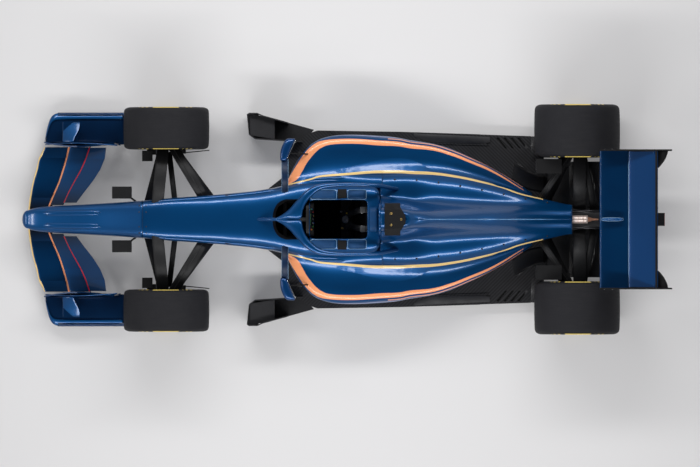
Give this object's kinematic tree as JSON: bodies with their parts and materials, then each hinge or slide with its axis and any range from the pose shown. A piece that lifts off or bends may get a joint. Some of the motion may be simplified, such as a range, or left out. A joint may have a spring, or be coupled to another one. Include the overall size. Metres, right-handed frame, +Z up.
{
  "type": "open wheel single-seat racing car",
  "caption": "open wheel racing car with halo, sidepods, front and rear wings with moving flaps, steered front wheels and slick tyres",
  "frame": {"origin": "on the ground, at the middle of the car's length and width", "axes": "+X from nose to tail, +Y to the car's right-hand side of the picture's top edge, +Z up"},
  "size_m": [5.354, 1.904, 0.985],
  "materials": {
    "body_paint": "deep metallic blue clear-coated paint",
    "wing_paint": "blue clear-coated paint with yellow and orange lines",
    "carbon_fibre": "satin black woven carbon fibre",
    "halo_paint": "blue paint over titanium tube and fairing",
    "padding_blue": "blue covered headrest foam",
    "tyre_rubber": "black slick tyre rubber",
    "wheel_metal": "satin black magnesium wheel",
    "cast_metal": "plain cast alloy",
    "exhaust_metal": "heat-tinted exhaust alloy",
    "lamp_red": "red tail lamp lens",
    "dark_plastic": "dark grip rubber and carbon",
    "plank_board": "dark laminated plank",
    "seat_shell": "carbon seat shell"
  },
  "bodies": {
    "root": {"rear_upright_right": "carbon_fibre", "rear_upright_left": "carbon_fibre", "chassis_tub": "body_paint", "nose_cone": "body_paint", "cockpit_padding": "padding_blue", "halo": "halo_paint", "roll_hoop": "body_paint", "camera_saddle": "carbon_fibre", "engine_cover": "body_paint", "sidepod_right": "body_paint", "sidepod_left": "body_paint", "floor": "carbon_fibre", "plank": "plank_board", "floor_board_right": "carbon_fibre", "floor_board_left": "carbon_fibre", "front_wing": "wing_paint", "front_endplate_right": "carbon_fibre", "front_endplate_left": "carbon_fibre", "gearbox": "carbon_fibre", "diffuser": "carbon_fibre", "tail_lamp": "lamp_red", "power_unit": "cast_metal", "front_suspension_right": "carbon_fibre", "front_suspension_left": "carbon_fibre", "rear_suspension_right": "carbon_fibre", "rear_suspension_left": "carbon_fibre", "rear_wing": "carbon_fibre", "rear_endplate_right": "carbon_fibre", "rear_endplate_left": "carbon_fibre", "exhaust": "exhaust_metal", "mirrors": "body_paint", "nose_pods": "carbon_fibre", "seat": "seat_shell"},
    "wheel_front_right": {"tyre_front_right": "tyre_rubber", "rim_front_right": "wheel_metal"},
    "wheel_front_left": {"tyre_front_left": "tyre_rubber", "rim_front_left": "wheel_metal"},
    "wheel_rear_right": {"tyre_rear_right": "tyre_rubber", "rim_rear_right": "wheel_metal"},
    "wheel_rear_left": {"tyre_rear_left": "tyre_rubber", "rim_rear_left": "wheel_metal"},
    "knuckle_right": {"front_upright_right": "carbon_fibre"},
    "knuckle_left": {"front_upright_left": "carbon_fibre"},
    "rack": {"steering_rack": "dark_plastic"},
    "helm": {"steering_wheel": "dark_plastic"},
    "flap_front_right": {"front_flap_right": "wing_paint"},
    "flap_front_left": {"front_flap_left": "wing_paint"},
    "flap_rear": {"rear_flap": "wing_paint"}
  },
  "joints": [
    {"name": "steer_left", "type": "hinge", "parent": "root", "child": "knuckle_left", "pos_m": [-1.491, -0.62, 0.355], "axis": [0, 0, 1], "range_deg": [-18, 18]},
    {"name": "steer_right", "type": "hinge", "parent": "root", "child": "knuckle_right", "pos_m": [-1.491, 0.62, 0.355], "axis": [0, 0, 1], "range_deg": [-19, 19]},
    {"name": "rack_slide", "type": "slide", "parent": "root", "child": "rack", "axis": [0, 1, 0], "range_m": [-0.026, 0.026]},
    {"name": "helm_turn", "type": "hinge", "parent": "root", "child": "helm", "pos_m": [-0.301, 0, 0.52], "axis": [0.9781, 0, 0.2079], "range_deg": [-182, 182]},
    {"name": "spin_front_left", "type": "hinge", "parent": "knuckle_left", "child": "wheel_front_left", "pos_m": [-1.491, -0.754, 0.355], "axis": [0, 1, 0], "continuous": true},
    {"name": "spin_front_right", "type": "hinge", "parent": "knuckle_right", "child": "wheel_front_right", "pos_m": [-1.491, 0.754, 0.355], "axis": [0, 1, 0], "continuous": true},
    {"name": "spin_rear_left", "type": "hinge", "parent": "root", "child": "wheel_rear_left", "pos_m": [1.909, -0.732, 0.355], "axis": [0, 1, 0], "continuous": true},
    {"name": "spin_rear_right", "type": "hinge", "parent": "root", "child": "wheel_rear_right", "pos_m": [1.909, 0.732, 0.355], "axis": [0, 1, 0], "continuous": true},
    {"name": "flap_front_right_tilt", "type": "hinge", "parent": "root", "child": "flap_front_right", "pos_m": [-2.3412, 0.138, 0.23541], "axis": [0.4251, 0.9051, -0.003], "range_deg": [0, 12]},
    {"name": "flap_front_left_tilt", "type": "hinge", "parent": "root", "child": "flap_front_left", "pos_m": [-2.3412, -0.138, 0.23541], "axis": [-0.4251, 0.9051, 0.003], "range_deg": [0, 12]},
    {"name": "flap_rear_tilt", "type": "hinge", "parent": "root", "child": "flap_rear", "pos_m": [2.53323, 0, 0.92326], "axis": [0, 1, 0], "range_deg": [0, 22]}
  ],
  "couplings": [
    {"joint": "steer_right", "follows": "steer_left", "ratio": 1},
    {"joint": "rack_slide", "follows": "steer_left", "m_per_rad": -0.07425},
    {"joint": "helm_turn", "follows": "steer_left", "ratio": 10},
    {"joint": "flap_front_left_tilt", "follows": "flap_front_right_tilt", "ratio": 1}
  ]
}
